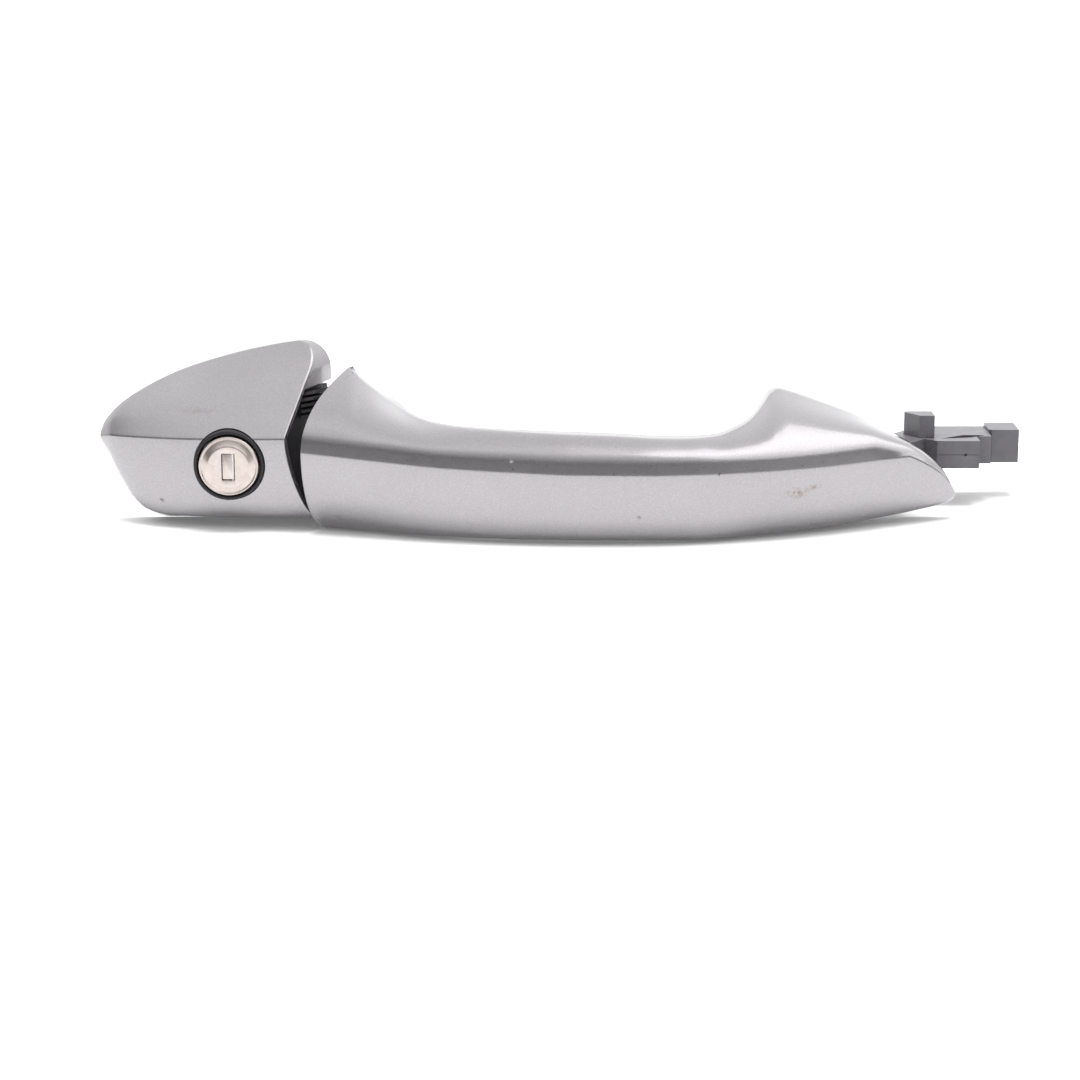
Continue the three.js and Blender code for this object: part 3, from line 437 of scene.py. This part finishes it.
GRIP_BOTTOM_DEPTH = [[10, -11], [28, -13.5], [60, -27], [85, -32.5], [110, -34],
                     [135, -32.5], [160, -24], [184, -14], [200, -8], [216.6, -2]]
GRIP_BACK = [[10, 0], [48, 0], [50, -3], [54, -11], [60, -17.5], [68, -22.3], [79, -25.2],
             [95, -26], [120, -26], [131, -25.2], [141, -22.3], [148, -17.5], [154, -11],
             [158.5, -3], [160.5, 0], [216.6, 0]]
GRIP_LEAN = [[10, 48], [34, 50], [46, 66], [70, 84], [134, 84], [152, 66], [162, 52],
             [200, 48], [216.6, 45]]
STRIP = 4.3
LIP_LEAN = 0.18
CAP_LIP_LEAN = 0.66
CREASE_SHARE = 0.88
GRIP_FULL = 0.55
GRIP_START = 24               # degrees from upright where the upper face starts
GRIP_END = 216.5
BACK_SPAN = (48.0, 160.5)     # where the inner cover meets the door plane
COVER_EDGE = 3.4              # depth of the cover's rolled edge
END_X = 35.7
END_SLOPE = 0.58

grip = {name: through(points) for name, points in {
    "top": GRIP_TOP, "bottom": GRIP_BOTTOM, "front": GRIP_FRONT, "crease": GRIP_CREASE,
    "top_depth": GRIP_TOP_DEPTH, "bottom_depth": GRIP_BOTTOM_DEPTH, "back": GRIP_BACK,
    "lean": GRIP_LEAN}.items()}


def grip_face(x):
    top, bottom = up(grip["top"](x)), up(grip["bottom"](x))
    front = grip["front"](x)
    crease = min(up(grip["crease"](x)), bottom + CREASE_SHARE * (top - bottom))
    strip = min(crease + STRIP, (crease + top) / 2)
    lip = [front + LIP_LEAN * STRIP, strip]
    return face([grip["bottom_depth"](x), bottom], [front, crease], lip,
                [grip["top_depth"](x), top], GRIP_START, grip["lean"](x), GRIP_FULL)


def smooth_step(t):
    t = np.clip(t, 0, 1)
    return t * t * (3 - 2 * t)


def parting(x):
    """Depth where the painted shell meets the inner cover."""
    ends = smooth_step((x - BACK_SPAN[0]) / 7) * smooth_step((BACK_SPAN[1] - x) / 7)
    return float(grip["back"](x) - COVER_EDGE * ends)


def shell_ring(x):
    front = grip_face(x)
    edge = parting(x)
    low, high = front[0], front[-1]
    return np.vstack([
        [[edge, low[1]]],
        straight([edge, low[1]], low, 5),
        front[1:],
        straight(high, [edge, high[1]], 5),
    ])


def cover_ring(x):
    front = grip_face(x)
    back = float(grip["back"](x))
    edge = min(parting(x) + 0.12, back - 0.06)
    low, high = front[0][1], front[-1][1]
    roll = min(0.3 + 2.4 * min(1.0, -back / 12), max(0.05, 0.85 * (back - edge)))
    t = np.linspace(0, 1, 8)
    upper = bezier([back - roll, high], [back - 0.45 * roll, high],
                   [back, high - 0.45 * roll], [back, high - roll], t)
    lower = bezier([back, low + roll], [back, low + 0.45 * roll],
                   [back - 0.45 * roll, low], [back - roll, low], t)
    between = straight(upper[-1], lower[0], 14)
    return np.vstack([[[edge, high]], upper, between, lower[1:], [[edge, low]]])


# ------------------------------------------------------------------ cap outline, as in the CAD part
CAP_TIP = -40.4
CAP_TOP = [[-40.5, 26.6], [-39, 30], [-34.2, 35.2], [-28, 39.4], [-16, 45.4], [-4, 49.4],
           [8, 52.4], [20, 54.4], [44, 56]]
CAP_BOTTOM = [[-40.5, 24.8], [-37, 15.6], [-34, 9.4], [-30.5, 4.4], [-26, 1.2], [-20, 0], [44, 0]]
CAP_FRONT = [[-40.5, -3.6], [-36, -8], [-28, -12.6], [-15, -17.4], [0, -20.2], [12, -21.3],
             [20, -21.7], [44, -22.2]]
CAP_CREASE = [[-40.5, 25.7], [-36, 26.8], [-20, 27.6], [17, 28.5], [44, 28.8]]
CAP_BOTTOM_DEPTH = [[-40.5, -2.4], [-34, -4.5], [-26, -8.5], [-15, -12], [0, -14], [44, -15]]
CAP_TOP_DEPTH = -2.2
CAP_START = 35
CAP_LEAN = 44
CAP_RISE = 3.2
CAP_FULL = 0.76
CAP_CORNER = 8.5
CAP_WALL_FOOT = 41.6
GAP_WIDE, GAP_NARROW = 6.7, 0.45
GAP_LOW, GAP_HIGH = 4.0, 28.0
LOCK_Z = 20.4
CAP_HOLE_R = 10.7

cap = {name: through(points) for name, points in {
    "top": CAP_TOP, "bottom": CAP_BOTTOM, "front": CAP_FRONT, "crease": CAP_CREASE,
    "bottom_depth": CAP_BOTTOM_DEPTH}.items()}


def cap_ring(x):
    top, bottom = up(cap["top"](x)), up(cap["bottom"](x))
    front = cap["front"](x)
    crease = up(cap["crease"](x))
    strip = min(crease + STRIP * 0.9, (crease + top) / 2)
    rise = min(CAP_RISE, 0.3 * (crease - bottom))
    low = [cap["bottom_depth"](x), bottom + rise]
    high = [CAP_TOP_DEPTH, top]
    front_line = face(low, [front, crease], [front + CAP_LIP_LEAN * (strip - crease), strip],
                      high, CAP_START, CAP_LEAN, CAP_FULL)
    return np.vstack([[[0, bottom]], straight([0, bottom], low, 6), front_line[1:],
                      straight(high, [0, top], 3)])


def gap_at(height):
    low = np.clip(height, GAP_LOW, GAP_HIGH)
    closed = ((GAP_HIGH - low) / (GAP_HIGH - GAP_LOW)) ** 1.5
    return GAP_NARROW + (GAP_WIDE - GAP_NARROW) * (1 - closed)


def cap_end(y, z):
    """x of the cap's end wall at a depth and a height above the origin."""
    height = z + SEAT_RISE
    cx = END_X - GAP_WIDE - CAP_CORNER
    cz = float(cap["top"](cx)) - CAP_CORNER
    reach = np.sqrt(np.clip(CAP_CORNER ** 2 - np.clip(height - cz, 0, CAP_CORNER) ** 2, 0, None))
    edge = np.where(height > cz, cx + reach, END_X - gap_at(height))
    return edge + END_SLOPE * y


# ------------------------------------------------------------------ meshes
def link(name, mesh):
    piece = bpy.data.objects.new(name, mesh)
    bpy.context.scene.collection.objects.link(piece)
    return piece


def sheet_mesh(name, rows):
    """Mesh over a grid of points, in millimetres; points that coincide are merged."""
    rows = np.asarray(rows, float)
    count, width = rows.shape[:2]
    mesh = bpy.data.meshes.new(name)
    ids = np.arange(count * width).reshape(count, width)
    quads = np.stack([ids[:-1, :-1], ids[:-1, 1:], ids[1:, 1:], ids[1:, :-1]], -1).reshape(-1, 4)
    mesh.from_pydata((rows.reshape(-1, 3) * MM).tolist(), [], quads.tolist())
    work = bmesh.new()
    work.from_mesh(mesh)
    bmesh.ops.remove_doubles(work, verts=work.verts, dist=2e-6)
    bmesh.ops.dissolve_degenerate(work, edges=work.edges, dist=1e-6)
    work.to_mesh(mesh)
    work.free()
    return mesh


def apply_all(piece):
    """Puts the result of the piece's modifiers into its mesh."""
    shown = piece.evaluated_get(bpy.context.evaluated_depsgraph_get())
    made = bpy.data.meshes.new_from_object(shown)
    piece.modifiers.clear()
    piece.data = made


def soften(piece, angle=35):
    piece.data.shade_smooth()
    piece.data.set_sharp_from_angle(angle=math.radians(angle))


def bevel(piece, width, segments=3, angle=40):
    edge = piece.modifiers.new("edges", "BEVEL")
    edge.width = width * MM
    edge.segments = segments
    edge.limit_method = "ANGLE"
    edge.angle_limit = math.radians(angle)
    edge.harden_normals = False
    even = piece.modifiers.new("even shading", "WEIGHTED_NORMAL")
    even.keep_sharp = True


def thicken(piece, wall, outline, beside=None):
    """Gives a sheet its wall, and keeps the inside of the wall within the outline."""
    outside = {tuple(round(c, 7) for c in vertex.co) for vertex in piece.data.vertices}
    solid = piece.modifiers.new("wall", "SOLIDIFY")
    solid.thickness = wall * MM
    solid.offset = -1
    apply_all(piece)
    for vertex in piece.data.vertices:
        x, y, z = (c / MM for c in vertex.co)
        if tuple(round(c, 7) for c in vertex.co) not in outside:
            if beside:
                x = beside(x, y, z)
            low, high = up(outline["bottom"](x)), up(outline["top"](x))
            margin = min(0.4, 0.3 * (high - low))
            z = float(np.clip(z, low + margin, high - margin))
            y = max(y, float(outline["front"](x)) + margin)
        vertex.co = (x * MM, min(y, 0.0) * MM, z * MM)


def dress(piece, body, slot, shade, *stands_for):
    piece.data.materials.clear()
    piece.data.materials.append(shade)
    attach(piece, body)
    if stands_for:
        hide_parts(*stands_for)
    return piece


def table_of(ring, xs):
    return np.array([ring(x) for x in xs])


def grid_between(ring, first, last, counts, start_edge=None, end_edge=None, blend=30.0):
    """Rows of points from one end to the other; an end may follow a wall given by an edge rule."""
    xs = np.linspace(first - 14 if start_edge else first, last + 14 if end_edge else last, 700)
    rings = table_of(ring, xs)
    width = rings.shape[1]

    def at(x_each):
        y = np.array([np.interp(x_each[i], xs, rings[:, i, 0]) for i in range(width)])
        z = np.array([np.interp(x_each[i], xs, rings[:, i, 1]) for i in range(width)])
        return y, z

    def wall_x(edge, guess):
        x = np.full(width, float(guess))
        for _ in range(40):
            y, z = at(x)
            x = 0.5 * x + 0.5 * edge(y, z)
        return x

    start = wall_x(start_edge, first) if start_edge else np.full(width, float(first))
    end = wall_x(end_edge, last) if end_edge else np.full(width, float(last))
    rows = []
    for share in counts:
        straight_x = first + (last - first) * share
        x = np.full(width, straight_x)
        if start_edge:
            w = np.clip((straight_x - first) / blend, 0, 1)
            x = start + (first + blend - start) * w if w < 1 else x
        if end_edge:
            w = np.clip((last - straight_x) / blend, 0, 1)
            x = end + (last - blend - end) * w if w < 1 else x
        y, z = at(x)
        rows.append(np.stack([x, y, z], -1))
    return rows


def end_wall(rows, rule, radius, steps, reach=None):
    """Rows that turn round a small radius off the first row and follow the end wall inwards.

    The wall goes to the door plane, or only as deep as reach allows for each point."""
    edge = rows[0]
    depth = -edge[:, 1]
    deep = depth if reach is None else np.minimum(depth, reach)
    bend = np.minimum(radius, 0.4 * deep)

    def on_wall(down):
        y = edge[:, 1] + down
        return np.stack([rule(y, edge[:, 2]), y, edge[:, 2]], -1)

    step = rows[1] - edge
    length = np.linalg.norm(step, axis=1, keepdims=True)
    before = edge + step * np.minimum(1.0, bend[:, None] / np.maximum(length, 1e-6))
    after = on_wall(bend)
    turn = [before * (1 - t) ** 2 + 2 * edge * t * (1 - t) + after * t * t
            for t in np.linspace(0, 1, 5)]
    wall = [on_wall(bend + (deep - bend) * t) for t in np.linspace(0, 1, steps + 1)[1:]]
    return (turn + wall)[::-1] + rows[1:]


def grip_wall(y, z):
    return END_X + END_SLOPE * y


def flat_wall(x):
    return lambda y, z: np.full_like(y, x)


def shares(points, count):
    """Even shares from 0 to 1, with extra ones where the outline turns quickly."""
    base = np.linspace(0, 1, count)
    return np.unique(np.round(np.concatenate([base, points]), 5))


def grip_shell(shade):
    first, last = 22.0, GRIP_END
    extra = [(x - first) / (last - first) for x in np.concatenate([
        np.linspace(32, 58, 40), np.linspace(150, 168, 30), np.linspace(205, 216.4, 24)])]
    rows = grid_between(shell_ring, first, last, shares(extra, 90), start_edge=grip_wall,
                        blend=26.0)
    rows = end_wall(rows, grip_wall, 0.6, 8)
    rows = end_wall(rows[::-1], flat_wall(GRIP_END), 0.5, 3)[::-1]
    piece = link("grip_painted_shell", sheet_mesh("grip_painted_shell", rows))
    outward(piece)
    thicken(piece, WALL, grip, lambda x, y, z: min(max(x, END_X + END_SLOPE * y + 0.4), GRIP_END))
    soften(piece, 30)
    return dress(piece, "grip", "paint", shade, "grip_shell")


def grip_cover(shade):
    first, last = BACK_SPAN
    extra = [(x - first) / (last - first) for x in np.concatenate([
        np.linspace(48, 62, 40), np.linspace(146, 160.5, 40)])]
    rows = grid_between(cover_ring, first, last, shares(extra, 60))
    piece = link("grip_inner_cover", sheet_mesh("grip_inner_cover", rows))
    outward(piece)
    thicken(piece, WALL, grip)
    soften(piece, 35)
    return dress(piece, "grip", "paint", shade, "grip_back")


def keep_largest(piece):
    """Drops the scraps that a cut leaves beside the piece."""
    work = bmesh.new()
    work.from_mesh(piece.data)
    waiting, islands = set(work.verts), []
    while waiting:
        stack = [waiting.pop()]
        island = list(stack)
        while stack:
            for edge in stack.pop().link_edges:
                for vertex in edge.verts:
                    if vertex in waiting:
                        waiting.remove(vertex)
                        stack.append(vertex)
                        island.append(vertex)
        islands.append(island)
    islands.sort(key=len)
    scraps = [vertex for island in islands[:-1] for vertex in island]
    bmesh.ops.delete(work, geom=scraps, context="VERTS")
    work.to_mesh(piece.data)
    work.free()


def cap_shell(shade):
    first, last = CAP_TIP, 22.0
    extra = [(x - first) / (last - first) for x in np.linspace(CAP_TIP, -30, 40)]
    rows = grid_between(cap_ring, first, last, shares(extra, 70), end_edge=cap_end, blend=24.0)
    walled = rows[-1][:, 2] > up(CAP_WALL_FOOT)
    rows = end_wall(rows, flat_wall(CAP_TIP), 0.5, 2)
    rows = end_wall(rows[::-1], cap_end, 0.6, 6, np.where(walled, 99, 1.3))[::-1]
    piece = link("cap_painted_shell", sheet_mesh("cap_painted_shell", rows))
    outward(piece)
    thicken(piece, WALL, cap, lambda x, y, z: max(min(x, float(cap_end(y, z)) - 0.2), CAP_TIP))
    bore = turned("bore", [[0, -30], [CAP_HOLE_R, -30], [CAP_HOLE_R, 0], [0, 0]], 128)
    hole = piece.modifiers.new("hole", "BOOLEAN")
    hole.object = bore
    hole.operation = "DIFFERENCE"
    hole.solver = "EXACT"
    hole.use_self = True
    hole.use_hole_tolerant = True
    apply_all(piece)
    keep_largest(piece)
    bpy.data.objects.remove(bore)
    soften(piece, 30)
    return dress(piece, "cap", "paint", shade, "cap_shell")


def outward(piece):
    """Turns the faces so that the middle of the sheet faces away from the door."""
    mesh = piece.data
    total = sum((face_.normal.y * face_.area for face_ in mesh.polygons
                 if face_.center.y < 0), 0.0)
    front_facing = total < 0
    inner = piece.name == "grip_inner_cover"
    if front_facing == inner:
        mesh.flip_normals()


def turned(name, profile, segments=96):
    """Round piece about the lock's axis, from [radius, y] points in millimetres."""
    mesh = bpy.data.meshes.new(name)
    ring = [(r, y) for r, y in profile]
    verts, faces = [], []
    for k in range(segments):
        angle = 2 * math.pi * k / segments
        for r, y in ring:
            height = up(LOCK_Z) + r * math.sin(angle)
            verts.append((r * math.cos(angle) * MM, y * MM, height * MM))
    n = len(ring)
    closed = ring[0][0] > 0
    for k in range(segments):
        m = (k + 1) % segments
        for i in range(n if closed else n - 1):
            j = (i + 1) % n
            faces.append((k * n + i, k * n + j, m * n + j, m * n + i))
    mesh.from_pydata(verts, [], faces)
    work = bmesh.new()
    work.from_mesh(mesh)
    bmesh.ops.remove_doubles(work, verts=work.verts, dist=1e-7)
    bmesh.ops.dissolve_degenerate(work, edges=work.edges, dist=1e-8)
    bmesh.ops.recalc_face_normals(work, faces=work.faces)
    work.to_mesh(mesh)
    work.free()
    return link(name, mesh)


# ------------------------------------------------------------------ lock face
FACE_Y = -23.0
FACE_R = 8.8
FACE_PLATE = 1.2
FACE_SKIRT = 3.2
RING_R = 10.4
RING_FRONT = -21.4
HOUSING_FRONT = -14.83
SLOT = (3.9, 8.0)


def arc(cx, cy, radius, first, last, steps):
    """Points of a profile arc; 0 degrees points away from the axis, 90 degrees into the door."""
    return [[cx + radius * math.cos(math.radians(a)), cy + radius * math.sin(math.radians(a))]
            for a in np.linspace(first, last, steps)]


def rounded_prism(name, width, height, radius, front, back, edge, middle=(0.0, 0.0)):
    """Upright plate with rounded corners, its front edge broken by a small round."""
    outline = []
    for cx, cz, start in ((1, 1, 0), (-1, 1, 90), (-1, -1, 180), (1, -1, 270)):
        for a in np.linspace(start, start + 90, 7):
            turn = math.radians(a)
            outline.append((middle[0] + cx * (width / 2 - radius) + radius * math.cos(turn),
                            middle[1] + cz * (height / 2 - radius) + radius * math.sin(turn)))
    count = len(outline)
    verts = [(x * MM, y * MM, (up(LOCK_Z) + z) * MM) for y in (front, back) for x, z in outline]
    faces = [list(range(count)), list(range(2 * count - 1, count - 1, -1))]
    faces += [(i, i + count, (i + 1) % count + count, (i + 1) % count) for i in range(count)]
    mesh = bpy.data.meshes.new(name)
    mesh.from_pydata(verts, [], faces)
    work = bmesh.new()
    work.from_mesh(mesh)
    bmesh.ops.recalc_face_normals(work, faces=work.faces)
    work.to_mesh(mesh)
    work.free()
    piece = link(name, mesh)
    if edge:
        bevel(piece, edge, 3, 60)
        apply_all(piece)
    return piece


def lock_face(shade):
    """Pressed cover of the plug: slightly domed, with a rolled rim and a pressed key window."""
    back = FACE_Y + FACE_PLATE
    inner = FACE_R - 0.7
    profile = [[0, FACE_Y], [5.2, FACE_Y], [5.5, FACE_Y]] + arc(5.8, FACE_Y + 0.9, 0.9, -90, -61, 8)
    profile += arc(7.9, FACE_Y + 0.75, 0.32, 119, 60, 5)[1:]
    profile += arc(FACE_R - 0.4, FACE_Y + 1.2, 0.4, -120, 0, 9)
    profile += [[FACE_R, FACE_Y + FACE_SKIRT - 0.2], [FACE_R - 0.2, FACE_Y + FACE_SKIRT],
                [inner, FACE_Y + FACE_SKIRT], [inner, back + 0.8], [6, back], [0, back]]
    piece = turned("lock_face_plate", profile, 144)
    window = rounded_prism("window", SLOT[0], SLOT[1], 0.35, FACE_Y - 1, 0, 0)
    hole = piece.modifiers.new("hole", "BOOLEAN")
    hole.object = window
    hole.solver = "EXACT"
    bevel(piece, 0.16, 3, 50)
    apply_all(piece)
    bpy.data.objects.remove(window)
    soften(piece, 32)
    return dress(piece, "lock_plug", "stainless", shade, "plug_cap")


def lock_ring(shade):
    inside = FACE_R + 0.3
    back = HOUSING_FRONT - 0.3
    profile = [[inside + 0.25, RING_FRONT + 0.2]]
    profile += arc(inside + 0.55, RING_FRONT + 0.3, 0.3, 200, 270, 5)
    profile += arc(RING_R - 0.45, RING_FRONT + 0.45, 0.45, -90, 0, 7)
    profile += [[RING_R, back], [inside, back], [inside, RING_FRONT + 0.7]]
    piece = turned("lock_bezel", profile, 144)
    soften(piece, 35)
    return dress(piece, "cap", "black_plastic", shade, "bezel_ring")


def key_flap(shade):
    """Flap behind the key window, set back a little, hinged at its right edge."""
    piece = rounded_prism("key_flap", SLOT[0] - 0.4, SLOT[1] - 0.4, 0.25, FACE_Y + 0.32,
                          FACE_Y + 0.95, 0.14)
    soften(piece, 35)
    return dress(piece, "flap", "stainless", shade, "key_shutter")


# ------------------------------------------------------------------ springs
def spring_copy(node, shade):
    """A copy of a CAD spring in a mesh of its own, shown in its place."""
    data = frame["nodes"][node].data.copy()
    data.transform(frame["nodes"][node].matrix_world)
    piece = bpy.data.objects.new(f"{node}_wound", data)
    bpy.context.scene.collection.objects.link(piece)
    soften(piece, 40)
    piece.data.materials.clear()
    piece.data.materials.append(shade)
    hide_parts(node)
    return piece


def coil(node, axis, moved_end, shade):
    """A copy of a spring in its place; where its flat ends would sit on its two bodies is worked
    out, but not used.
    """
    piece = spring_copy(node, shade)
    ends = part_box(node)
    still = 1 - moved_end
    flat = SPRING_FLAT * (ends[1][axis] - ends[0][axis])
    start, end = [list((ends[0] + ends[1]) / 2) for _ in range(2)]
    start[axis] = ends[still][axis] + flat * (1 if still == 0 else -1)
    end[axis] = ends[moved_end][axis] + flat * (1 if moved_end == 0 else -1)
    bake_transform(piece)


def leaf(shade):
    """The flap's leaf spring, a copy in a mesh of its own that moves with the plug."""
    piece = spring_copy("shutter_spring", shade)
    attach(piece, "lock_plug")
    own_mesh(piece)


def springs(shade):
    coil("return_spring", 1, 1, shade)
    leaf(shade)
    for i in range(1, 7):
        if i % 2:
            coil(f"wafer_spring_{i}", 2, 1, shade)
        else:
            coil(f"wafer_spring_{i}", 2, 0, shade)


# ------------------------------------------------------------------ putting it together
SQUARE_PIECES = {"grip_core": 0.3, "cap_carrier": 0.15, "lock_housing": 0.2, "tail_shaft": 0.2,
                 "plug_core": 0.1}
SPRING_FLAT = 0.12    # share of a spring's length at each end that stays flat on its body


def cad_finishes(looks):
    """Gives each CAD node its own finish and merged flat faces, and slightly broken edges to the
    square pieces.
    """
    for part in frame["record"]["subparts"]:
        node = frame["nodes"][part["node"]]
        node.data.materials.clear()
        node.data.materials.append(looks[part["material_slot"]])
        flat = node.modifiers.new("flat faces", "DECIMATE")
        flat.decimate_type = "DISSOLVE"
        flat.angle_limit = math.radians(0.6)
        if part["node"] in SQUARE_PIECES:
            bevel(node, SQUARE_PIECES[part["node"]], 2, 40)
        soften(node, 30)


camera()
studio()
LOOKS = finishes()
cad_finishes(LOOKS)
grip_shell(LOOKS["paint"])
grip_cover(LOOKS["paint"])
cap_shell(LOOKS["paint"])
lock_face(LOOKS["stainless"])
lock_ring(LOOKS["black_plastic"])
key_flap(LOOKS["stainless"])
springs(LOOKS["spring_steel"])

scene = bpy.context.scene
scene.view_settings.view_transform = "Standard"
scene.view_settings.look = "None"
